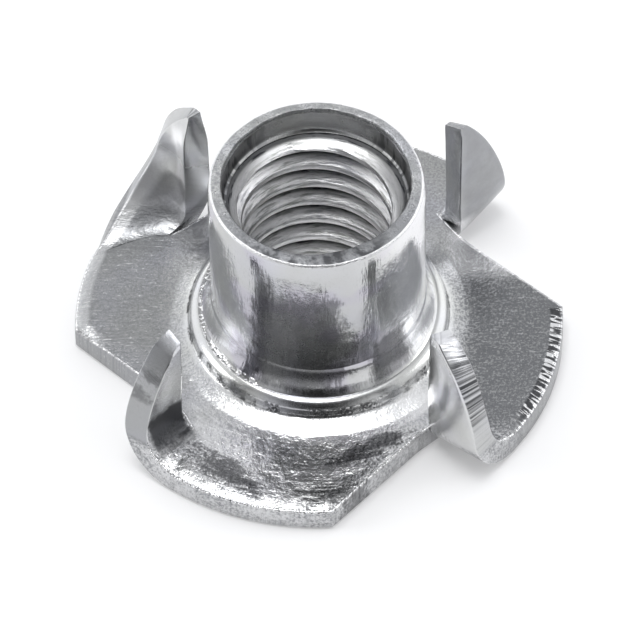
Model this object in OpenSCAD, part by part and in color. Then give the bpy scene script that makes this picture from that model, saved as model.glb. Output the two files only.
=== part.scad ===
// Four-prong tee nut, pressed from one disc of sheet steel and drawn up into a barrel.
// Millimetres. The origin is the centre of the flange's underside, and +Z runs up the barrel.

/* [Flange] */
// Thickness of the sheet
sheet_t = 1.2; // [1:0.05:1.25]
// Diameter of the disc before its prongs are cut and folded
flange_d = 22.2; // [22.1:0.1:23]
// Angle from +X to the first sharp corner of the flange
corner_angle = 2.2; // [0:0.1:8]

/* [Barrel] */
// Outer diameter of the barrel
barrel_d = 9.7; // [9.4:0.05:10]
// Height from the underside of the flange to the inner edge of the rim
overall_h = 10.9; // [10:0.1:12]
// Height above the sheet where the barrel's wall starts to flare
flare_h = 2.8; // [2.4:0.1:3.2]
// Radius of the line where the flare meets the ring round the barrel's foot
ring_top_r = 5.35; // [5.2:0.05:5.6]
// Height of that line above the sheet
ring_h = 1.15; // [0.9:0.05:1.3]
// Radius where the ring runs out into the flange
ring_foot_r = 6.8; // [6.4:0.1:7.2]

/* [Rim] */
// Width of the bevel round the outside of the rim, measured across the wall
bevel_w = 0.08; // [0.04:0.02:0.16]
// Height of that bevel
bevel_h = 0.6; // [0.4:0.05:0.8]
// Fall of the rim's face from its inner edge to the bevel
rim_fall = 0.15; // [0.05:0.05:0.3]

/* [Bore] */
// Crest diameter of the M8 thread, left as a smooth bore
crest_d = 6.7; // [6.65:0.05:6.9]
// Diameter of the plain recess at the barrel's mouth
recess_d = 8.4; // [8.2:0.1:8.5]
// Depth of the recess below the rim
recess_h = 1.4; // [1:0.1:1.8]
// Radius of the drawn entry at the underside
entry_r = 1.3; // [0.8:0.1:1.5]

/* [Prongs] */
// Height of each prong's tip above the underside, anticlockwise from the first past +X
tip_heights = [8.3, 8, 6.8, 7.9]; // [6.5:0.1:8.8]
// Height taken off each prong's sharp point
tip_blunt = 0.3; // [0.1:0.05:0.35]
// Distance from the axis to each prong's upright inner edge
prong_inner_r = 8.3; // [8:0.05:8.4]
// Distance that a prong's outer face stands behind its fold's radial line
prong_back = 0.6; // [0.55:0.05:0.65]
// Inside radius of the fold
fold_r = 1.4; // [1.3:0.1:1.7]
// Angle from a corner of the flange to the fold of the next prong
fold_lead = 38.8; // [38.4:0.1:39.5]
// Angle by which each straight cut leans from square to the fold
cut_skew = 6.4; // [3:0.1:9]
// Radius of the notch where a straight cut meets the fold
notch_r = 1.2; // [0.8:0.1:1.4]
// Distance that the notch's centre stands behind the fold's radial line
notch_back = 1.2; // [0.9:0.1:1.6]

/* [Hidden] */
$fn = 96;
overlap = 0.01; // joined shapes run into each other by this much
reach = 2 * flange_d; // longer than any cut
flange_r = flange_d / 2;
barrel_r = barrel_d / 2;
crest_r = crest_d / 2;
recess_r = recess_d / 2;
prong_count = len(tip_heights);
fold_angle = corner_angle + fold_lead;
// corner of the flange, in the frame of the fold that follows it
corner_x = flange_r * cos(fold_lead);
corner_y = -flange_r * sin(fold_lead);
// the flare is an arc that leaves the wall smoothly and ends on the ring's top line
flare_drop = flare_h - ring_h;
flare_step = ring_top_r - barrel_r;
flare_r = (pow(flare_step, 2) + pow(flare_drop, 2)) / (2 * flare_step);
// centre of the fold, whose height is also its outer radius
fold_z = fold_r + sheet_t;
fold_y = fold_z - prong_back;
sheet_end_y = fold_y - 0.3; // at its rim the flat sheet runs a little way under the fold
fold_rim_r = flange_r + 0.05; // the fold bulges just past the rim

// distance from the axis to the straight cut, at a distance y past the fold's radial line
function cut_x(y) = corner_x - tan(cut_skew) * (y - corner_y);

// sheet that a cut frees to be folded, leaving a round notch and a web that narrows to the rim
module freed_sheet() {
    centre_x = cut_x(-notch_back) + notch_r / cos(cut_skew);
    run = flange_r - centre_x;
    rise = sheet_end_y + notch_back;
    web_angle = atan2(rise, run) - asin(notch_r / norm([run, rise]));
    translate([centre_x, -notch_back])
        circle(r = notch_r);
    polygon([
        [centre_x - notch_r * cos(cut_skew), -notch_back - notch_r * sin(cut_skew)],
        [cut_x(-reach), -reach],
        [reach, -reach],
        [reach, sheet_end_y + (reach - flange_r) * tan(web_angle)],
        [centre_x - notch_r * sin(web_angle), notch_r * cos(web_angle) - notch_back]
    ]);
}

// the flat sheet, with its straight cut edges, sharp corners and notches
module flange_outline() {
    difference() {
        circle(r = flange_r);
        for (i = [0 : prong_count - 1])
            rotate(fold_angle + i * 360 / prong_count)
                freed_sheet();
    }
}

// a prong seen along its fold: a strip of the flange, the bend and the upright blade
module prong_section(tip_h) {
    translate([fold_y - overlap, 0])
        square([1, sheet_t]);
    translate([fold_y, fold_z])
        intersection() {
            difference() {
                circle(r = fold_z);
                circle(r = fold_r);
            }
            translate([-reach, -reach])
                square([reach, reach]);
        }
    translate([-prong_back, fold_z - overlap])
        square([sheet_t, tip_h - fold_z + overlap]);
}

// a prong seen flat on: an upright inner edge, a blunt tip and the disc's arc outside
module prong_outline(tip_h) {
    intersection() {
        translate([0, tip_h + tip_blunt + corner_y])
            circle(r = flange_r);
        translate([prong_inner_r, -1])
            square([reach, tip_h + 1]);
    }
}

// one prong, with its fold along +X
module prong(tip_h) {
    intersection() {
        rotate([90, 0, 90])
            linear_extrude(reach) prong_section(tip_h);
        rotate([90, 0, 0])
            linear_extrude(reach, center = true) prong_outline(tip_h);
        cylinder(r = fold_rim_r, h = overall_h);
    }
}

// half section of the drawn barrel and the ring at its foot
module barrel_section() {
    difference() {
        polygon([
            [0, 0],
            [ring_foot_r, 0],
            [ring_foot_r, sheet_t],
            [ring_top_r, sheet_t + ring_h],
            [ring_top_r, sheet_t + flare_h],
            [barrel_r, sheet_t + flare_h],
            [barrel_r, overall_h - rim_fall - bevel_h],
            [barrel_r - bevel_w, overall_h - rim_fall],
            [recess_r, overall_h],
            [0, overall_h]
        ]);
        intersection() {
            translate([barrel_r + flare_r, sheet_t + flare_h])
                circle(r = flare_r);
            translate([barrel_r, sheet_t + ring_h])
                square([reach, flare_drop + overlap]);
        }
    }
}

// half section of what is open along the axis: rounded entry, thread crests and recess
module bore_section() {
    recess_z = overall_h - recess_h;
    difference() {
        polygon([
            [0, -1],
            [crest_r + entry_r, -1],
            [crest_r + entry_r, entry_r],
            [crest_r, entry_r],
            [crest_r, recess_z - (recess_r - crest_r) / 2],
            [recess_r, recess_z],
            [recess_r, overall_h + 1],
            [0, overall_h + 1]
        ]);
        translate([crest_r + entry_r, entry_r])
            circle(r = entry_r);
    }
}

module tee_nut() {
    color("silver")
        difference() {
            union() {
                linear_extrude(sheet_t) flange_outline();
                rotate_extrude() barrel_section();
                for (i = [0 : prong_count - 1])
                    rotate(fold_angle + i * 360 / prong_count)
                        prong(tip_heights[i]);
            }
            rotate_extrude() bore_section();
        }
}

tee_nut();
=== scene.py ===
import math
import bpy
import bmesh
from mathutils import Matrix, Vector, noise


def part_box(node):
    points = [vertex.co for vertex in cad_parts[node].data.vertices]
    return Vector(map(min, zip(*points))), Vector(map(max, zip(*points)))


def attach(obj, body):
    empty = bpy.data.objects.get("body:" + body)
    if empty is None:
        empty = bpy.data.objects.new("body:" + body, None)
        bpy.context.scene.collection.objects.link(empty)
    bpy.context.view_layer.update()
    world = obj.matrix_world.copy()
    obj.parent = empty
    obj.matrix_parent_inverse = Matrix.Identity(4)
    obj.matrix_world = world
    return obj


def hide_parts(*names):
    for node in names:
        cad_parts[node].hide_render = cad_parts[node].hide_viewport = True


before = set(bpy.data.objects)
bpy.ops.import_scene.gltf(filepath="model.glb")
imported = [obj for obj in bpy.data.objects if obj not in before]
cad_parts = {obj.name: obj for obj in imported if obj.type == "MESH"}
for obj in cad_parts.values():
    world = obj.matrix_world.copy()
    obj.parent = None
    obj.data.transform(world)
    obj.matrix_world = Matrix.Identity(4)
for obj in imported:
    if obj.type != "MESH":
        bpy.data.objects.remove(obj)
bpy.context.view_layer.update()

mm = 0.001
nodeLow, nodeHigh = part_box("tee_nut")
rimRadius = (nodeHigh[0] - nodeLow[0]) / 2 / mm - 0.01  # mm, like every length in the dictionaries


def deselectAll():
    if bpy.context.object and bpy.context.object.mode != "OBJECT":
        bpy.ops.object.mode_set(mode="OBJECT")
    bpy.ops.object.select_all(action="DESELECT")


def pick(piece):
    deselectAll()
    piece.select_set(True)
    bpy.context.view_layer.objects.active = piece


def edit(piece, selectMode="VERT"):
    pick(piece)
    bpy.ops.object.mode_set(mode="EDIT")
    bpy.ops.mesh.select_mode(type=selectMode)
    bpy.ops.mesh.select_all(action="DESELECT")


def leaveEdit():
    bpy.ops.object.mode_set(mode="OBJECT")


def selectWhere(piece, kind, test):
    shape = bmesh.from_edit_mesh(piece.data)
    for part in getattr(shape, kind):
        part.select_set(bool(test(part)))
    shape.select_flush_mode()
    bmesh.update_edit_mesh(piece.data)


def gridPiece(name, columns, rows, place, edgeGap, edgeRun,
              taper=lambda i, j: 1, slant=lambda i, j: 0):
    deselectAll()
    bpy.ops.mesh.primitive_grid_add(x_subdivisions=columns, y_subdivisions=rows, size=1)
    piece = bpy.context.object
    piece.name = name
    radius = sheet["edgeRadius"]
    gaps, runs, tapers, slants = [], [], [], []
    for point in piece.data.vertices:
        i = round((point.co.x + 0.5) * columns)
        j = round((point.co.y + 0.5) * rows)
        point.co = Vector(place(i, j)) * mm
        gaps.append(edgeGap[i, j])
        runs.append(edgeRun(i, j))
        tapers.append(taper(i, j))
        slants.append(slant(i, j))
    rounding = piece.vertex_groups.new(name="round")
    for k, gap in enumerate(gaps):
        drop = radius - math.sqrt(radius ** 2 - (radius - min(gap, radius)) ** 2)
        rounding.add([k], (1 - drop / halfWall) * tapers[k], "REPLACE")
    near = piece.data.attributes.new("edgeNear", "FLOAT", "POINT")
    near.data.foreach_set("value", [max(0, 1 - gap / sheet["nearReach"]) for gap in gaps])
    running = piece.data.attributes.new("edgeRun", "FLOAT", "POINT")
    running.data.foreach_set("value", runs)
    slanted = piece.data.attributes.new("slant", "FLOAT", "POINT")
    slanted.data.foreach_set("value", slants)
    return piece


def joinInto(first, others):
    pick(first)
    for other in others:
        other.select_set(True)
    bpy.ops.object.join()
    return first


def mix(a, b, t):
    return a + (b - a) * t


def smooth(low, high, x):
    t = min(max((x - low) / (high - low), 0), 1)
    return t * t * (3 - 2 * t)


def turned(x, y, degrees):
    a = math.radians(degrees)
    return x * math.cos(a) - y * math.sin(a), x * math.sin(a) + y * math.cos(a)


sheet = dict(
    thickness=1.2, seamRadius=6.9,  # where the sheet meets the ring round the barrel's foot
    cornerLead=38.8, cutEnd=(8.05, -1.25),  # the straight cut runs from the corner to the notch
    notchColumns=6, foldColumns=10, rimColumns=20, cutColumns=12,
    edgeSteps=(0.0, 0.02, 0.06, 0.14, 0.4, 0.7), innerRows=8,  # distances in from the edge, then even rows
    bladeRows=40, edgeRadius=0.08,
    nearReach=1.5,  # how far in the edgeNear attribute fades from 1 to 0
    rollWidth=0.75, rollDepth=0.16,  # the punch drags the top of the rim down
)
# y and z of each blade's inner and outer edge, from the fold line to the tip, in its fold's own frame
prongs = [
    dict(fold=41, bend=1.0, innerX=8.22, scoop=0.12, tipWidth=0.35, taper=1.0, slant=0.6, straighten=0.2,
         inner=[(0.9, 0.6), (0.3, 0.8), (0.0, 1.4), (0.0, 3.0), (0.0, 4.7), (0.0, 6.4), (0.0, 8.35)],
         outer=[(2.2, 0.6), (0.8, 1.05), (0.1, 2.2), (0.0, 3.6), (0.0, 5.0), (0.0, 6.4), (0.0, 8.25)]),
    dict(fold=131, bend=1.7, innerX=8.3, scoop=0.42, tipWidth=0.35, taper=0.6, slant=0.0, straighten=-0.05,
         inner=[(1.9, 0.6), (0.75, 0.93), (0.1, 1.9), (0.0, 3.35), (0.0, 4.95), (0.0, 6.6), (0.0, 8.2)],
         outer=[(5.2, 0.65), (2.6, 1.6), (0.8, 2.75), (0.0, 3.95), (0.0, 5.2), (0.0, 6.6), (0.0, 8.0)]),
    dict(fold=221, bend=1.0, innerX=8.45, scoop=0.25, tipWidth=0.7, taper=0.9, slant=0.0, straighten=0.1,
         inner=[(0.9, 0.6), (0.3, 0.8), (0.0, 1.4), (0.0, 2.8), (0.0, 4.2), (0.0, 5.6), (0.0, 7.0)],
         outer=[(2.4, 0.6), (0.9, 1.05), (0.15, 2.1), (0.0, 3.2), (0.0, 4.4), (0.0, 5.5), (0.0, 6.5)]),
    dict(fold=311, bend=1.0, innerX=8.1, scoop=0.18, tipWidth=0.5, taper=1.0, slant=0.4, straighten=0.05,
         inner=[(0.85, 0.6), (0.28, 0.8), (0.0, 1.35), (0.0, 2.9), (0.0, 4.5), (0.0, 6.1), (0.0, 7.85)],
         outer=[(2.2, 0.6), (0.8, 1.05), (0.1, 2.2), (0.0, 3.6), (0.0, 4.9), (0.0, 6.2), (0.0, 7.6)]),
]
columnCount = 4 * sum(sheet[k] for k in ("notchColumns", "foldColumns", "rimColumns", "cutColumns"))
cutAngle = math.degrees(math.atan2(sheet["cutEnd"][1], sheet["cutEnd"][0]))
halfWall = sheet["thickness"] / 2


def onRim(degrees):
    a = math.radians(degrees)
    return rimRadius * math.cos(a), rimRadius * math.sin(a)


def acrossBlade(k, width):
    close = sheet["edgeSteps"][:4]
    count = sheet["foldColumns"]
    if k < len(close):
        return min(close[k], width * 0.12 * k) / width
    if k > count - len(close):
        return 1 - min(close[count - k], width * 0.12 * (count - k)) / width
    first = min(close[-1], width * 0.12 * (len(close) - 1)) / width
    return mix(first, 1 - first, (k - len(close) + 1) / (count - 2 * len(close) + 2))


def foldLine(prong):
    y = prong["outer"][0][0]
    return (prong["innerX"], prong["inner"][0][0]), (math.sqrt(rimRadius ** 2 - y * y), y)


def edgePath(prong):
    cutX, cutY = sheet["cutEnd"]
    start, end = foldLine(prong)
    width = math.dist(start, end)
    path = []
    for k in range(sheet["notchColumns"]):
        t = k / sheet["notchColumns"]
        path.append((mix(cutX, start[0], t ** 1.6), mix(cutY, start[1], t)))
    for k in range(sheet["foldColumns"]):
        t = acrossBlade(k, width)
        path.append((mix(start[0], end[0], t), mix(start[1], end[1], t ** prong["bend"])))
    startAngle = math.degrees(math.atan2(end[1], end[0]))
    cornerAngle = 90 - sheet["cornerLead"]
    for k in range(sheet["rimColumns"]):
        path.append(onRim(mix(startAngle, cornerAngle, k / sheet["rimColumns"])))
    corner = onRim(cornerAngle)
    cutStop = turned(cutX, cutY, 90)
    for k in range(sheet["cutColumns"] + 1):
        t = k / sheet["cutColumns"]
        path.append((mix(corner[0], cutStop[0], t), mix(corner[1], cutStop[1], t)))
    return path


def toSegment(x, y, a, b):
    dx, dy = b[0] - a[0], b[1] - a[1]
    t = min(max(((x - a[0]) * dx + (y - a[1]) * dy) / (dx * dx + dy * dy), 0), 1)
    return math.hypot(x - a[0] - t * dx, y - a[1] - t * dy)


def lift(x, y, fold):
    r = math.hypot(x, y)
    wave = 0.5 + 0.5 * noise.noise((x * 0.16 + fold, y * 0.16, 3.1))
    return (0.04 + 0.08 * wave) * smooth(7.0, 11.0, r)


def lobe(index, prong):
    path = edgePath(prong)
    steps = sheet["edgeSteps"]
    rows = sheet["innerRows"] + len(steps) - 1
    columns = len(path) - 1
    foldStart = sheet["notchColumns"]
    foldStop = foldStart + sheet["foldColumns"]
    free = [(path[k], path[k + 1]) for k in range(columns) if not foldStart <= k < foldStop]
    before = turned(*onRim(90 - sheet["cornerLead"]), -90)
    free.append((before, path[0]))
    edgeGap = {}

    def place(i, j):
        edgeX, edgeY = path[i]
        a = math.radians(cutAngle + 90 * i / columns)
        innerX, innerY = sheet["seamRadius"] * math.cos(a), sheet["seamRadius"] * math.sin(a)
        length = math.hypot(edgeX - innerX, edgeY - innerY)
        if j >= sheet["innerRows"]:
            t = 1 - steps[rows - j] / length
        else:
            t = (1 - steps[-1] / length) * j / sheet["innerRows"]
        x, y = mix(innerX, edgeX, t), mix(innerY, edgeY, t)
        edgeGap[i, j] = min(toSegment(x, y, *side) for side in free)
        z = halfWall + lift(x, y, prong["fold"])
        return (*turned(x, y, prong["fold"]), z)

    runs = [0.0]
    for a, b in zip(path, path[1:]):
        runs.append(runs[-1] + math.dist(a, b))
    return gridPiece("lobe%d" % index, columns, rows, place, edgeGap, lambda i, j: runs[i] + 37 * index)


def alongCurve(points, t):
    n = len(points) - 1
    k = min(int(t * n), n - 1)
    f = t * n - k
    p1, p2 = points[k], points[k + 1]
    p0 = points[k - 1] if k else (2 * p1[0] - p2[0], p2[1])
    p3 = points[k + 2] if k + 2 <= n else (2 * p2[0] - p1[0], 2 * p2[1] - p1[1])
    return tuple(0.5 * (2 * b + (c - a) * f + (2 * a - 5 * b + 4 * c - d) * f * f + (3 * b - a - 3 * c + d) * f ** 3)
                 for a, b, c, d in zip(p0, p1, p2, p3))


def blade(index, prong):
    rows, columns = sheet["bladeRows"], sheet["foldColumns"]
    start, end = foldLine(prong)
    foldWidth = math.dist(start, end)
    across = [acrossBlade(i, foldWidth) for i in range(columns + 1)]
    bend = prong["bend"]
    lifts = [lift(mix(start[0], end[0], u), mix(start[1], end[1], u ** bend), prong["fold"]) for u in across]
    inner = [alongCurve(prong["inner"], j / rows) for j in range(rows + 1)]
    outer = [alongCurve(prong["outer"], j / rows) for j in range(rows + 1)]
    unrolled = [-end[1]]
    for a, b in zip(outer, outer[1:]):
        unrolled.append(unrolled[-1] + math.dist(a, b))
    tipX = prong["innerX"] + prong["tipWidth"]
    full = math.sqrt(rimRadius ** 2 - tipX ** 2)
    steps = sheet["edgeSteps"]
    edgeGap = {}

    def place(i, j):
        v = j / rows
        (yIn, zIn), (yOut, zOut) = inner[j], outer[j]
        s = unrolled[j] if unrolled[j] < 0 else unrolled[j] * full / unrolled[-1]
        xOut = math.sqrt(rimRadius ** 2 - s * s)
        if s > 0:
            xOut -= prong["straighten"] * math.sin(math.pi * s / full)
        width = max(math.dist((prong["innerX"], yIn, zIn), (xOut, yOut, zOut)), 0.01)
        u = acrossBlade(i, width)
        u = mix(across[i], u, smooth(0, 0.1, v))
        x, y = mix(prong["innerX"], xOut, u), mix(yIn, yOut, u ** bend)
        z = mix(zIn, zOut, u ** mix(bend, 1, smooth(0.3, 0.8, v))) + lifts[i]
        y -= prong["scoop"] * 4 * u * (1 - u) * smooth(0.2, 0.5, v) * min(width / 2.6, 1) ** 2
        toTip = abs(zOut - outer[-1][1]) if v > 0.5 else 9
        edgeGap[i, j] = min(u * width, (1 - u) * width, toTip)
        return (*turned(x, y, prong["fold"]), z)

    tipRow = {row: smooth(inner[-1][1] - 2.2, inner[-1][1], inner[row][1]) for row in range(rows + 1)}
    return gridPiece("blade%d" % index, columns, rows, place, edgeGap, lambda i, j: unrolled[j] + 150 + 20 * index,
                     lambda i, j: mix(1, prong["taper"], tipRow[j]), lambda i, j: prong["slant"] * tipRow[j])


print("sheet: lobes and prongs")
patches = []
for index, prong in enumerate(prongs):
    patches += [lobe(index, prong), blade(index, prong)]
teeNut = joinInto(patches[0], patches[1:])
teeNut.name = "teeNut"
edit(teeNut)
bpy.ops.mesh.select_all(action="SELECT")
bpy.ops.mesh.remove_doubles(threshold=0.008 * mm)
bpy.ops.mesh.normals_make_consistent(inside=False)
leaveEdit()
if sum(face.normal.z * face.area for face in teeNut.data.polygons) < 0:
    edit(teeNut)
    bpy.ops.mesh.select_all(action="SELECT")
    bpy.ops.mesh.flip_normals()
    leaveEdit()

sheetPoints = len(teeNut.data.vertices)
wall = teeNut.modifiers.new("wall", "SOLIDIFY")
wall.thickness = sheet["thickness"] * mm
wall.offset = 0
wall.vertex_group = "round"  # thins the wall towards its edges, which rounds them
wall.thickness_vertex_group = 0
bpy.ops.object.modifier_apply(modifier="wall")

# the upper side of the rim is rolled down, and a tip's two sides end at different heights
edgeNear = [0.0] * len(teeNut.data.vertices)
slants = [0.0] * len(teeNut.data.vertices)
teeNut.data.attributes["edgeNear"].data.foreach_get("value", edgeNear)
teeNut.data.attributes["slant"].data.foreach_get("value", slants)
rollByAngle = [(0, 0.15), (41, 0.3), (100, 0.5), (131, 0.8), (180, 1.0),
               (221, 0.9), (270, 0.6), (311, 0.3), (360, 0.15)]
for k in range(sheetPoints):
    point = teeNut.data.vertices[k]
    x, y, z = point.co / mm
    gap = (1 - edgeNear[k]) * sheet["nearReach"]
    point.co.z -= slants[k] * mm
    if gap < sheet["rollWidth"] and z < 3 and math.hypot(x, y) > 9.6:
        a = math.degrees(math.atan2(y, x)) % 360
        share = next(mix(p, q, (a - low) / (high - low))
                     for (low, p), (high, q) in zip(rollByAngle, rollByAngle[1:]) if low <= a <= high)
        share *= smooth(9.6, 10.6, math.hypot(x, y)) * (1 - smooth(1.9, 3.0, z))
        point.co.z -= sheet["rollDepth"] * share * (1 - gap / sheet["rollWidth"]) ** 2 * mm

edit(teeNut, "FACE")
seam = sheet["seamRadius"] * mm
selectWhere(teeNut, "faces", lambda f: abs(f.normal.z) < 0.5
            and all(abs(v.co.xy.length - seam) < 0.03 * mm for v in f.verts))
bpy.ops.mesh.delete(type="FACE")
leaveEdit()


barrel = dict(
    outside=[(6.9, 1.2), (6.78, 1.215), (6.6, 1.27), (6.4, 1.34), (6.2, 1.415), (6.02, 1.49),
             (5.94, 1.55), (5.91, 1.64), (5.88, 1.8), (5.82, 1.95), (5.7, 2.08), (5.56, 2.17),
             (5.43, 2.21), (5.37, 2.2), (5.33, 2.23), (5.25, 2.34), (5.14, 2.52), (5.04, 2.75), (4.96, 3.02),
             (4.91, 3.28), (4.885, 3.5), (4.868, 3.53), (4.86, 3.6), (4.85, 4.0), (4.85, 5.0), (4.85, 6.0),
             (4.85, 7.0), (4.85, 8.0), (4.85, 9.0), (4.85, 9.6), (4.85, 10.1)],
    rim=[(4.84, 10.2), (4.80, 10.5), (4.775, 10.66), (4.74, 10.73), (4.68, 10.76), (4.5, 10.81), (4.32, 10.86),
         (4.255, 10.85), (4.215, 10.8), (4.2, 10.72)],
    recess=[(4.2, 10.2), (4.2, 9.75), (4.18, 9.6), (4.12, 9.52), (4.04, 9.47)],
    underside=[(3.37, 1.5), (3.39, 1.3), (3.44, 1.1), (3.56, 0.82), (3.74, 0.52), (3.98, 0.28),
               (4.28, 0.1), (4.65, 0.0), (5.4, 0.0), (6.2, 0.0), (6.9, 0.0)],
)


def spunPiece(name, section, startAngle):
    deselectAll()
    bpy.ops.mesh.primitive_plane_add(size=1)
    piece = bpy.context.object
    piece.name = name
    edit(piece)
    bpy.ops.mesh.select_all(action="SELECT")
    bpy.ops.mesh.merge(type="CENTER")
    shape = bmesh.from_edit_mesh(piece.data)
    shape.verts.ensure_lookup_table()
    r, z = section[0]
    shape.verts[0].co = Vector((*turned(r, 0, startAngle), z)) * mm
    bmesh.update_edit_mesh(piece.data)
    bpy.ops.mesh.select_all(action="SELECT")
    for (r0, z0), (r1, z1) in zip(section, section[1:]):
        step = Vector((*turned(r1 - r0, 0, startAngle), z1 - z0)) * mm
        bpy.ops.mesh.extrude_region_move(TRANSFORM_OT_translate={"value": step})
    bpy.ops.mesh.select_all(action="SELECT")
    bpy.ops.mesh.spin(steps=columnCount, angle=2 * math.pi, center=(0, 0, 0), axis=(0, 0, 1))
    bpy.ops.mesh.select_all(action="SELECT")
    bpy.ops.mesh.remove_doubles(threshold=0.004 * mm)
    leaveEdit()
    return piece


print("barrel: outside, rim, recess and underside")
seamAngle = prongs[0]["fold"] + cutAngle
shell = spunPiece("shell", barrel["outside"] + barrel["rim"] + barrel["recess"], seamAngle)
foot = spunPiece("foot", barrel["underside"], seamAngle)

thread = dict(pitch=1.25, crest=3.35, root=4.03, rootAt=4.97, turns=9, top=9.4, mouth=9.15, bottom=1.75,
              half=[(0, 0.0), (0, 0.13), (0.03, 0.17), (0.2, 0.27),  # depth beyond the crest, then height
                    (0.42, 0.395), (0.6, 0.495), (0.66, 0.54), (0.68, 0.58)])


def threadPiece():
    pitch, crest = thread["pitch"], thread["crest"]
    rising = [(crest + r, z) for r, z in thread["half"]]
    falling = [(r, pitch - z) for r, z in reversed(rising)]
    section = rising + falling
    deselectAll()
    bpy.ops.mesh.primitive_plane_add(size=1)
    piece = bpy.context.object
    piece.name = "thread"
    base = thread["rootAt"] - pitch / 2 - 3 * pitch - pitch / 4  # root at 90 degrees from +X
    base -= pitch * seamAngle / 360
    edit(piece)
    bpy.ops.mesh.select_all(action="SELECT")
    bpy.ops.mesh.merge(type="CENTER")
    shape = bmesh.from_edit_mesh(piece.data)
    shape.verts.ensure_lookup_table()
    shape.verts[0].co = Vector((section[0][0], 0, base + section[0][1])) * mm
    bmesh.update_edit_mesh(piece.data)
    bpy.ops.mesh.select_all(action="SELECT")
    for (r0, z0), (r1, z1) in zip(section, section[1:]):
        step = Vector((r1 - r0, 0, z1 - z0)) * mm
        bpy.ops.mesh.extrude_region_move(TRANSFORM_OT_translate={"value": step})
    leaveEdit()
    turn = piece.modifiers.new("turn", "SCREW")
    turn.axis = "Z"
    turn.steps = turn.render_steps = columnCount
    turn.iterations = thread["turns"]
    turn.screw_offset = pitch * mm
    turn.use_merge_vertices = False
    bpy.ops.object.modifier_apply(modifier="turn")
    edit(piece)
    bpy.ops.mesh.select_all(action="SELECT")
    bpy.ops.mesh.remove_doubles(threshold=0.003 * mm)
    for height, outer in ((thread["top"], True), (thread["bottom"], False)):
        bpy.ops.mesh.select_all(action="SELECT")
        bpy.ops.mesh.bisect(plane_co=(0, 0, height * mm), plane_no=(0, 0, 1), clear_outer=outer,
                            clear_inner=not outer, threshold=1e-8)
    bpy.ops.mesh.select_all(action="SELECT")
    bpy.ops.transform.rotate(value=-math.radians(seamAngle), orient_axis="Z", center_override=(0, 0, 0))
    leaveEdit()
    for point in piece.data.vertices:  # the mouth of the thread is countersunk
        r = point.co.xy.length / mm
        rise = (point.co.z / mm - thread["mouth"]) / (thread["top"] - thread["mouth"])
        cone = crest + (thread["root"] + 0.01 - crest) * rise
        if cone > r:
            point.co.xy *= cone / r
    return piece


print("uneven lip")
lip = dict(swellAt=-68, swellWidth=34, inward=0.2, down=0.05, wander=0.035)
for point in shell.data.vertices:
    r, z = point.co.xy.length / mm, point.co.z / mm
    if z > 10.15 and r < 4.83:
        a = math.degrees(math.atan2(point.co.y, point.co.x))
        off = (a - lip["swellAt"] + 180) % 360 - 180  # degrees from the middle of the swelling
        swell = math.exp(-(off / lip["swellWidth"]) ** 2)
        wobble = noise.noise((math.cos(math.radians(a)) * 3, math.sin(math.radians(a)) * 3, 1.7))
        ripple = noise.noise((math.cos(math.radians(a)) * 12, math.sin(math.radians(a)) * 12, 4.2))
        share = smooth(10.15, 10.7, z)
        inner = 1 - smooth(4.2, 4.7, r)
        point.co.xy *= (r - share * inner * (lip["inward"] * swell + lip["wander"] * (wobble + ripple))) / r
        point.co.z -= share * mm * (lip["down"] * swell * inner + 0.03 * max(0, 0.6 + wobble + ripple * 0.6))

print("thread")
helix = threadPiece()
teeNut = joinInto(teeNut, [shell, foot, helix])
edit(teeNut)
bpy.ops.mesh.select_all(action="SELECT")
bpy.ops.mesh.remove_doubles(threshold=0.004 * mm)


def bridgeAt(piece, heights, radii):
    bpy.ops.mesh.select_mode(type="EDGE")
    selectWhere(piece, "edges", lambda e: e.is_boundary and any(
        abs(e.verts[0].co.z - h * mm) < 0.004 * mm and abs(e.verts[1].co.z - h * mm) < 0.004 * mm for h in heights)
        and e.verts[0].co.xy.length < radii * mm)
    bpy.ops.mesh.bridge_edge_loops()


bridgeAt(teeNut, (thread["top"], barrel["recess"][-1][1]), 4.3)
bridgeAt(teeNut, (thread["bottom"], barrel["underside"][0][1]), 4.3)
bpy.ops.mesh.select_all(action="SELECT")
bpy.ops.mesh.fill_holes(sides=0)
bpy.ops.mesh.select_all(action="SELECT")
bpy.ops.mesh.normals_make_consistent(inside=False)
leaveEdit()

check = bmesh.new()
check.from_mesh(teeNut.data)
openEdges = [e for e in check.edges if len(e.link_faces) != 2]
print("mesh check: open edges", len(openEdges), "volume mm3", round(check.calc_volume(signed=True) / mm ** 3, 1),
      "triangles", sum(len(f.verts) - 2 for f in check.faces))
check.free()
pick(teeNut)
bpy.ops.object.shade_smooth_by_angle(angle=math.radians(38))

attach(teeNut, "root")
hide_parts("tee_nut")


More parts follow.
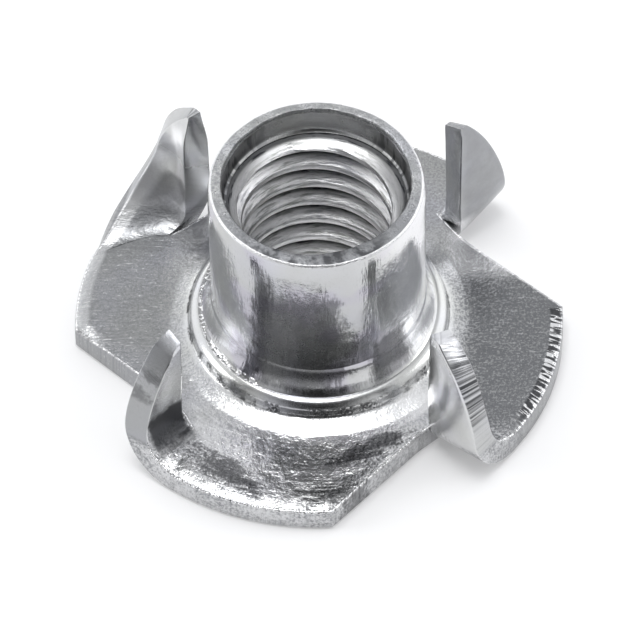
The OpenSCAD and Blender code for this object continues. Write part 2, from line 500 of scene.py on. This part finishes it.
class Wire:
    def __init__(self, tree, socket=None):
        self.tree, self.socket = tree, socket

    def add(self, kind, settings=(), values=(), out=0):
        node = self.tree.nodes.new(kind)
        for name, value in dict(settings).items():
            if name == "stops":
                ramp = node.color_ramp
                while len(ramp.elements) < len(value):
                    ramp.elements.new(0.5)
                for element, (place, tone) in zip(ramp.elements, value):
                    element.position = place
                    element.color = (*tone, 1)
            else:
                setattr(node, name, value)
        for name, value in dict(values).items():
            if isinstance(value, Wire):
                self.tree.links.new(value.socket, node.inputs[name])
            else:
                node.inputs[name].default_value = value
        return Wire(self.tree, node.outputs[out])

    def into(self, node, name):
        self.tree.links.new(self.socket, node.inputs[name])

    def math(self, operation, *others, clamp=False):
        values = dict(enumerate((self, *others)))
        return self.add("ShaderNodeMath", dict(operation=operation, use_clamp=clamp), values)

    def __add__(self, other): return self.math("ADD", other)
    def __radd__(self, other): return self.math("ADD", other)
    def __sub__(self, other): return self.math("SUBTRACT", other)
    def __rsub__(self, other): return (self * -1) + other
    def __mul__(self, other): return self.math("MULTIPLY", other)
    def __rmul__(self, other): return self.math("MULTIPLY", other)
    def __truediv__(self, other): return self.math("DIVIDE", other)
    def __pow__(self, other): return self.math("POWER", other)

    def larger(self, other):
        return self.math("MAXIMUM", other)

    def rise(self, low, high):
        return self.add("ShaderNodeMapRange", dict(interpolation_type="SMOOTHSTEP"),
                        {"Value": self, "From Min": low, "From Max": high, "To Min": 0.0, "To Max": 1.0})

    def fall(self, low, high):
        return 1 - self.rise(low, high)

    def band(self, low, high, softness):
        return self.rise(low - softness, low) * self.fall(high, high + softness)

    def scaled(self, x, y, z):
        return self.add("ShaderNodeVectorMath", dict(operation="MULTIPLY"), {0: self, 1: (x, y, z)})

    def split(self):
        first = self.add("ShaderNodeSeparateXYZ", {}, {0: self})
        return [Wire(self.tree, output) for output in first.socket.node.outputs]

    def joined(self, x, y, z=0.0):
        return self.add("ShaderNodeCombineXYZ", {}, {0: x, 1: y, 2: z})

    def noise(self, scale, detail=2.0, roughness=0.5):
        return self.add("ShaderNodeTexNoise", dict(noise_dimensions="3D"),
                        {"Vector": self, "Scale": scale, "Detail": detail, "Roughness": roughness})

    def paint(self, tone, share):
        share = share.math("ADD", 0.0, clamp=True)
        return self.add("ShaderNodeMix", dict(data_type="RGBA"), {0: share, 6: self, 7: (*tone, 1)}, out=2)

    def colour(self, *stops):
        return self.add("ShaderNodeValToRGB", dict(stops=stops), {"Fac": self})


# the bright tone also paints highlights and reflections, and the two darkest tones also paint shade
plate = dict(
    cool=(0.70, 0.705, 0.745), plain=(0.68, 0.685, 0.69), warm=(0.65, 0.655, 0.64), bright=(0.93, 0.93, 0.94),
    shadeAndGrime=(0.035, 0.036, 0.04), dullAndShade=(0.22, 0.225, 0.235), lavender=(0.60, 0.57, 0.67),
    lobeRoughness=0.22, barrelRoughness=0.14, rimRoughness=0.30, leastRoughness=0.06,
    # painted reflections on the front lobe, dark and bright; each patch: x, y, half length, half width, turn in
    # degrees
    darkReflectionPatches=[(-4.3, -8.7, 2.0, 0.75, -36), (2.2, -7.5, 1.9, 0.5, 27), (1.0, -10.1, 1.7, 0.5, 18)],
    brightReflectionPatches=[(-3.9, -7.3, 2.6, 0.8, -50), (-0.3, -8.9, 1.8, 0.5, 10)],
)
# heights in mm that each pattern stands, everywhere and more on some places
relief = dict(
    grain=0.003, grainFlat=0.011, grainRim=0.045, grainThread=0.014,
    fine=0.0005, fineFlat=0.004, fineRim=0.004, fineThread=0.003,
    scratchRight=0.007, scratchLeft=0.012, sweepFront=0.014,
    wave=0.014, waveFlat=0.03, waveFront=0.045,
    barrelStreak=0.045, barrelBrush=0.0035, threadRing=0.04,
    wallStrip=0.006, frontBladeStrip=0.03, comb=0.06, burr=0.03, bead=0.06, rollStrip=0.012,
)


def zincPlate():
    material = bpy.data.materials.new("zincPlate")
    material.use_nodes = True
    tree = material.node_tree
    shader = tree.nodes["Principled BSDF"]
    shader.inputs["Metallic"].default_value = 1
    spot = Wire(tree).add("ShaderNodeTexCoord", out="Object").scaled(1 / mm, 1 / mm, 1 / mm)
    x, y, z = spot.split()
    radius = (x * x + y * y) ** 0.5
    angle = y.math("ARCTAN2", x)
    near = spot.add("ShaderNodeAttribute", dict(attribute_name="edgeNear"), out=2)
    run = spot.add("ShaderNodeAttribute", dict(attribute_name="edgeRun"), out=2)
    gap = (1 - near) * sheet["nearReach"]

    # where each treatment lies, painted shade and highlights among them
    outer = radius.rise(4.0, 4.1)
    onRim = z.rise(10.56, 10.7)
    onBarrel = outer * (1 - onRim) * radius.fall(5.3, 5.5) * z.rise(2.2, 2.4) * radius.rise(4.6, 4.65)
    onSheet = radius.rise(5.9, 6.3)
    low = z.fall(1.7, 2.2)
    onFlat = onSheet * low
    onWall = near.rise(0.975, 0.999)
    offWall = 1 - onWall
    onBore = radius.fall(4.3, 4.35)
    onThread = radius.fall(4.06, 4.1) * z.band(1.6, 9.42, 0.05)
    onRecess = onBore * z.band(9.45, 10.5, 0.08)
    atSides = x.math("ABSOLUTE").rise(1.6, 3.4)
    atRight = x.rise(5.4, 7.5) * y.fall(1.2, 3.4) * low
    atBack = y.rise(3.0, 6.0) * low
    byNotch = x.rise(5.6, 6.4) * y.rise(1.8, 3.2) * y.fall(4.6, 5.6) * low
    atFront = y.fall(-7.5, -5.6) * low
    atLeft = x.fall(-7.5, -5.4) * low
    footBand = radius.band(6.1, 7.1, 0.3) * y.fall(-5.0, -3.4) * (0.3 + 0.7 * x.rise(-5.0, -2.8)) * low
    rimFront = onRim * y.fall(-4.0, -2.5) * radius.fall(4.66, 4.7)

    # the four blades, and distances along and across the folds of two of them
    backBlade = x.rise(5.0, 5.6) * y.rise(4.4, 5.2) * z.rise(1.3, 2.2)
    leftBlade = x.fall(-5.4, -4.6) * y.rise(3.6, 4.6) * z.rise(1.25, 1.6)
    nearBlade = x.fall(-4.6, -4.0) * y.fall(-4.6, -4.0) * z.rise(1.0, 1.4)
    frontBlade = x.rise(4.0, 4.6) * y.fall(-5.6, -5.0) * z.rise(1.3, 2.0)
    leftFold, nearFold = math.radians(prongs[1]["fold"]), math.radians(prongs[2]["fold"])
    alongLeft = x * math.cos(leftFold) + y * math.sin(leftFold)
    alongNear = x * math.cos(nearFold) + y * math.sin(nearFold)
    acrossNear = y * math.cos(nearFold) - x * math.sin(nearFold)
    leftFace = leftBlade * offWall

    # patterns, each round 0.5
    grain = spot.noise(8, 3, 0.65)
    fine = spot.noise(15, 2, 0.6)
    rough = spot.noise(1.3, 3, 0.55)
    alongX = spot.scaled(1.3, 10, 10).noise(1.0, 3, 0.6)
    sweep = spot.joined(radius * 6, angle * 5, z).noise(1.0, 3, 0.65)
    streaks = spot.joined(angle * 7, z * 0.3).noise(1.0, 3, 0.6)
    brushed = spot.joined(angle * 60, z * 1.6).noise(1.0, 2, 0.6)
    strips = spot.joined(run * 6 + x * 2, gap * 0.6).noise(1.0, 3, 0.7)
    comb = spot.joined(run * 6.2, gap * 1.2).noise(1.0, 1, 0.5)
    rings = spot.joined(radius * 7, z * 8, angle * 3).noise(1.0, 3, 0.65)
    ragged = (brushed - 0.5) * 0.5 + (streaks - 0.5) * 0.7 + (rough - 0.5) * 0.9

    def patch(centreX, centreY, halfLength, halfWidth, degrees):
        cosine, sine = math.cos(math.radians(degrees)), math.sin(math.radians(degrees))
        u = ((x - centreX) * cosine + (y - centreY) * sine) / halfLength
        v = ((y - centreY) * cosine - (x - centreX) * sine) / halfWidth
        border = (rough - 0.5) * 2.6 + (sweep - 0.5) * 2.2 + (grain - 0.5) * 2.4
        return (u * u + v * v + border).fall(0.3, 1.5) * low

    # comb marks just inside the rim of the lobe at +X, and beads and burrs along edges; the beads and burrs also
    # carry painted glints
    combBand = gap.band(0.16, 0.5, 0.1) * x.rise(8.6, 9.2) * y.band(-7.4, 0.2, 0.2) * low * radius.rise(10.3, 10.5)
    tooth = comb.rise(0.47, 0.56)
    beads = radius.band(5.28, 5.44, 0.05) * z.band(2.1, 2.42, 0.1) * x.fall(-3.4, -2.2)
    bead = spot.scaled(4.5, 4.5, 4.5).noise(1.0, 1).rise(0.46, 0.56)
    burr = gap.band(0.03, 0.09, 0.04) * onFlat * comb.rise(0.38, 0.55)
    lines = alongX.rise(0.64, 0.69) * (atRight * 0.6 + atLeft)
    rolled = gap.fall(0.5, 0.72)

    h = relief
    height = (grain - 0.5) * (h["grain"] + h["grainFlat"] * onFlat + h["grainRim"] * onRim
                              + h["grainThread"] * onThread)
    height = height + (fine - 0.5) * (h["fine"] + h["fineFlat"] * onFlat + h["fineRim"] * onRim
                                      + h["fineThread"] * onThread)
    height = height + (alongX - 0.5) * (h["scratchRight"] * atRight + h["scratchLeft"] * atLeft)
    height = height + (sweep - 0.5) * h["sweepFront"] * atFront
    height = height + (rough - 0.5) * (h["wave"] + h["waveFlat"] * onFlat + h["waveFront"] * atFront)
    height = height + ((streaks - 0.5) * h["barrelStreak"] + (brushed - 0.5) * h["barrelBrush"]) * onBarrel
    height = height + (rings - 0.5) * h["threadRing"] * onThread
    height = height + (strips - 0.5) * onWall * (h["wallStrip"] + h["frontBladeStrip"] * frontBlade)
    height = height + tooth * combBand * h["comb"] + burr * h["burr"] + bead * beads * h["bead"]
    height = height + (strips - 0.5) * h["rollStrip"] * rolled * atLeft
    bump = spot.add("ShaderNodeBump", {}, {"Strength": 1.0, "Distance": mm, "Height": height})
    bump.into(shader, "Normal")

    # broad tones, from place to place, with painted shade on the back blade and the rim's front, and a painted
    # highlight on the thread's crests
    tone = spot.noise(0.33, 2).colour((0.35, plate["cool"]), (0.5, plate["plain"]), (0.65, plate["warm"]))
    tone = tone.paint(plate["lavender"], spot.noise(0.5, 1).rise(0.5, 0.66) * onBarrel * 0.6)
    speckledWall = onWall * (1.3 * (grain - 0.5) - 0.1)
    tone = tone.paint(plate["dullAndShade"], backBlade * (0.62 + 0.25 * rough + speckledWall)
                      + onRim * (0.1 + 0.75 * y.fall(-2.5, 0.5)))
    tone = tone.paint(plate["bright"], radius.fall(3.68, 3.84) * onThread * rings.rise(0.4, 0.54))

    # mottling of the sheet and the rim, with painted shade and painted highlights from place to place
    mottle = (grain * 0.55 + fine * 0.35 + sweep * 0.35 * atFront + alongX * (0.15 * atRight + 0.35 * atLeft)
              - 0.175 * (atFront + atLeft) - 0.075 * atRight + 0.05).fall(0.38, 0.6)
    mottledSheet = onSheet * (1 - onWall * 0.7) * (0.15 + 0.35 * low + 0.5 * atRight + 0.1 * atFront)
    # painted shade: the whole right lobe is darkened as well
    tone = tone.paint(plate["dullAndShade"], mottle * (mottledSheet + onRim * 0.75) + atRight * 0.6)
    # painted shade on the cut walls, more on the near, left and front blades, and on the left lobe and the back
    shadedWall = onWall * (0.24 + 0.4 * nearBlade + 0.2 * leftBlade + 0.68 * atFront)
    tone = tone.paint(plate["dullAndShade"], atLeft * 0.56 + shadedWall + atBack * 0.34)
    # painted shade on the barrel's left, a painted reflection on its right and a painted highlight by the notch
    tone = tone.paint(plate["dullAndShade"], onBarrel * 0.26 * x.fall(1.0, 3.5))
    tone = tone.paint(plate["bright"], onBarrel * x.rise(2.0, 4.2) * 0.8 + byNotch * 0.9)
    # painted reflections on the front lobe and the foot's fillet, and a painted highlight band on the left blade
    tone = tone.paint(plate["bright"], atFront * 0.6 * (1 - mottle) + footBand * 0.7)
    tone = tone.paint(plate["bright"], leftFace * alongLeft.band(8.85, 9.3, 0.3) * z.band(3.6, 6.4, 1.0) * 0.95)
    tone = tone.paint(plate["dullAndShade"], onRim * rough.rise(0.4, 0.62) * 0.45)
    # a painted highlight along the rim's outer edge
    tone = tone.paint(plate["bright"], onRim * radius.band(4.69, 4.78, 0.03) * 0.8)
    smudge = (z + rough).band(4.9, 6.0, 0.4) * rough.rise(0.42, 0.56)
    tone = tone.paint(plate["shadeAndGrime"], nearBlade * onWall * smudge * 0.5)

    # painted highlight on the rolled edge, the painted reflection patches and the tool marks, with painted glints on
    # the burrs and beads and painted shade between the beads
    rollBand = rolled * x.fall(-8.0, -7.0) * radius.rise(9.9, 10.3) * offWall
    tone = tone.paint(plate["plain"], rollBand * (0.4 + 0.6 * strips))
    for place in plate["brightReflectionPatches"]:
        tone = tone.paint(plate["bright"], patch(*place) * 0.8)
    for place in plate["darkReflectionPatches"]:
        tone = tone.paint(plate["shadeAndGrime"], patch(*place) * 0.72)
    tone = tone.paint(plate["bright"], lines * 0.45 + burr * 0.75 + bead * beads)
    tone = tone.paint(plate["shadeAndGrime"], (1 - bead) * beads * 0.4)
    tone = tone.paint(plate["dullAndShade"], strips.fall(0.36, 0.52) * onWall * (0.08 + 0.5 * frontBlade) + onWall * 0.05)
    bladeMiddle = frontBlade * z.rise(3.2, 4.6) * z.fall(6.6, 7.2)
    tone = tone.paint(plate["shadeAndGrime"], onWall * bladeMiddle * strips.fall(0.42, 0.62) * 0.9)
    tone = tone.paint(plate["shadeAndGrime"], combBand * (1 - tooth) * 0.75)
    tone = tone.paint(plate["bright"], combBand * tooth)

    # painted shade in the crease at the foot, the thread's roots, the recess, the bore's sides, the rim's front and
    # the feet of the near and left blades, painted dark reflections on the barrel's front and flanks, and pits
    crease = radius.band(5.86, 5.98, 0.08) * z.band(1.5, 2.0, 0.1) * rough.rise(0.42, 0.56) * grain.rise(0.42, 0.5)
    root = radius.rise(3.66, 3.92) * onThread * 0.9 + onThread * rings.fall(0.34, 0.46) * 0.3
    pits = grain.rise(0.60, 0.68) * (0.1 + 0.6 * onRim)
    under = (angle + ragged * 0.5).band(-2.15, -1.45, 0.14) * (z + ragged * 2.2).band(2.7, 7.9, 0.7)
    flank = (angle + ragged * 0.4).band(-1.02, -0.72, 0.12) * (z + ragged * 2).band(2.3, 4.4, 0.6)
    nearBase = (alongNear + ragged * 0.6).band(8.7, 10.5, 0.35) * (acrossNear + ragged * 0.8).fall(0.9, 1.7)
    leftBase = leftFace * alongLeft.band(8.7, 9.9, 0.4)
    dark = (crease * 0.85).larger(root).larger(pits)
    dark = dark.larger(rimFront * (0.2 + 0.6 * rough.rise(0.45, 0.6)))
    dark = dark.larger(onRecess * (0.15 + 0.75 * atSides * streaks.fall(0.42, 0.62)))
    dark = dark.larger(onBore * z.band(9.15, 10.4, 0.2) * atSides * (0.45 + 0.4 * rings))
    dark = dark.larger(onBarrel * (under * 0.62 + flank * 0.6))
    dark = dark.larger(nearBase * (z + ragged).band(1.2, 2.9, 0.4) * offWall * 0.9)
    dark = dark.larger(leftBase * (z + ragged * 0.6).band(2.3, 3.0, 0.45) * 0.55)
    tone.paint(plate["shadeAndGrime"], dark).into(shader, "Base Color")

    roughness = plate["lobeRoughness"] + (fine - 0.5) * 0.10 + (rough - 0.5) * 0.14
    roughness = roughness - onBarrel * (plate["lobeRoughness"] - plate["barrelRoughness"])
    roughness = roughness + onRim * (plate["rimRoughness"] - plate["lobeRoughness"])
    roughness = roughness + dark * 0.2 + onThread * 0.14 + leftBlade * z.fall(3.6, 5.0) * 0.26
    roughness.larger(plate["leastRoughness"]).into(shader, "Roughness")
    return material


print("zinc plate")
zinc = zincPlate()
teeNut.data.materials.clear()
teeNut.data.materials.append(zinc)
bpy.data.objects["tee_nut"].data.materials.clear()
bpy.data.objects["tee_nut"].data.materials.append(zinc)


print("floor, light and camera")
studio = dict(
    floorSize=1.2, floorTone=(0.74, 0.74, 0.745), floorRoughness=0.9, floorGlow=0.22,  # metres
    skyTone=(0.97, 0.98, 1.0), skyLeast=0.02, skyAhead=0.74, skyLeft=0.55, skyRight=0.75, skyOverhead=1.2,
)
# place and size in metres, and radiance
softboxes = dict(
    leftSoftbox=((-0.36, 0.00, 0.17), (0.14, 0.22), 3.2),
    rightSoftbox=((0.36, 0.04, 0.16), (0.10, 0.22), 3.0),
    backSoftbox=((-0.10, 0.40, 0.13), (0.30, 0.05), 1.6),
    overheadSoftbox=((-0.04, -0.01, 0.42), (0.21, 0.18), 5.6),
)
deselectAll()
bpy.ops.mesh.primitive_plane_add(size=studio["floorSize"], location=(0, 0, 0))
floor = bpy.context.object
floor.name = "floor"
paper = bpy.data.materials.new("paper")
paper.use_nodes = True
paperShader = paper.node_tree.nodes["Principled BSDF"]
paperShader.inputs["Base Color"].default_value = (*studio["floorTone"], 1)
paperShader.inputs["Roughness"].default_value = studio["floorRoughness"]
paperShader.inputs["Emission Color"].default_value = (1, 1, 1, 1)
paperShader.inputs["Emission Strength"].default_value = studio["floorGlow"]
floor.data.materials.append(paper)

world = bpy.data.worlds.new("studio")
bpy.context.scene.world = world
world.use_nodes = True
background = world.node_tree.nodes["Background"]
skyX, skyY, skyZ = Wire(world.node_tree).add("ShaderNodeTexCoord", out="Generated").split()
# dark round the camera, brighter ahead, to both sides and overhead
level = studio["skyLeast"] + skyY.rise(-0.35, 0.75) * studio["skyAhead"]
level = level + (skyX * -1).rise(0.2, 0.7) * studio["skyLeft"] + skyX.rise(0.2, 0.7) * studio["skyRight"]
level = level + skyZ.rise(0.88, 0.995) * studio["skyOverhead"]
level.into(background, "Strength")
background.inputs["Color"].default_value = (*studio["skyTone"], 1)


def softLight(name, place, size, radiance, aim=(0, 0, 0.004)):
    data = bpy.data.lights.new(name, "AREA")
    data.shape = "RECTANGLE"
    data.size, data.size_y = size
    data.energy = radiance * math.pi * size[0] * size[1]
    lamp = bpy.data.objects.new(name, data)
    bpy.context.collection.objects.link(lamp)
    lamp.location = place
    lamp.rotation_euler = (Vector(aim) - Vector(place)).to_track_quat("-Z", "Y").to_euler()


for name, (place, size, radiance) in softboxes.items():
    softLight(name, place, size, radiance)

# angles in degrees, distance in metres, and how far the aim is off the sheet's centre in mm
viewpoint = dict(elevation=51.20, distance=0.291, roll=-1.07, lens=360.35, right=0.049, down=0.083)
elevation = math.radians(viewpoint["elevation"])
toCamera = Vector((0, -math.cos(elevation), math.sin(elevation)))
upward = Vector((0, math.sin(elevation), math.cos(elevation)))
centre = Vector((0, 0, sheet["thickness"] * mm))
aim = centre + Vector((viewpoint["right"] * mm, 0, 0)) - upward * viewpoint["down"] * mm
place = centre + toCamera * viewpoint["distance"]
cameraData = bpy.data.cameras.new("camera")
cameraData.lens = viewpoint["lens"]
cameraData.sensor_width = 36
camera = bpy.data.objects.new("camera", cameraData)
bpy.context.collection.objects.link(camera)
facing = (aim - place).to_track_quat("-Z", "Y").to_matrix().to_4x4()
roll = Matrix.Rotation(math.radians(viewpoint["roll"]), 4, "Z")
camera.matrix_world = Matrix.Translation(place) @ facing @ roll
bpy.context.scene.camera = camera
bpy.context.scene.view_settings.view_transform = "Standard"
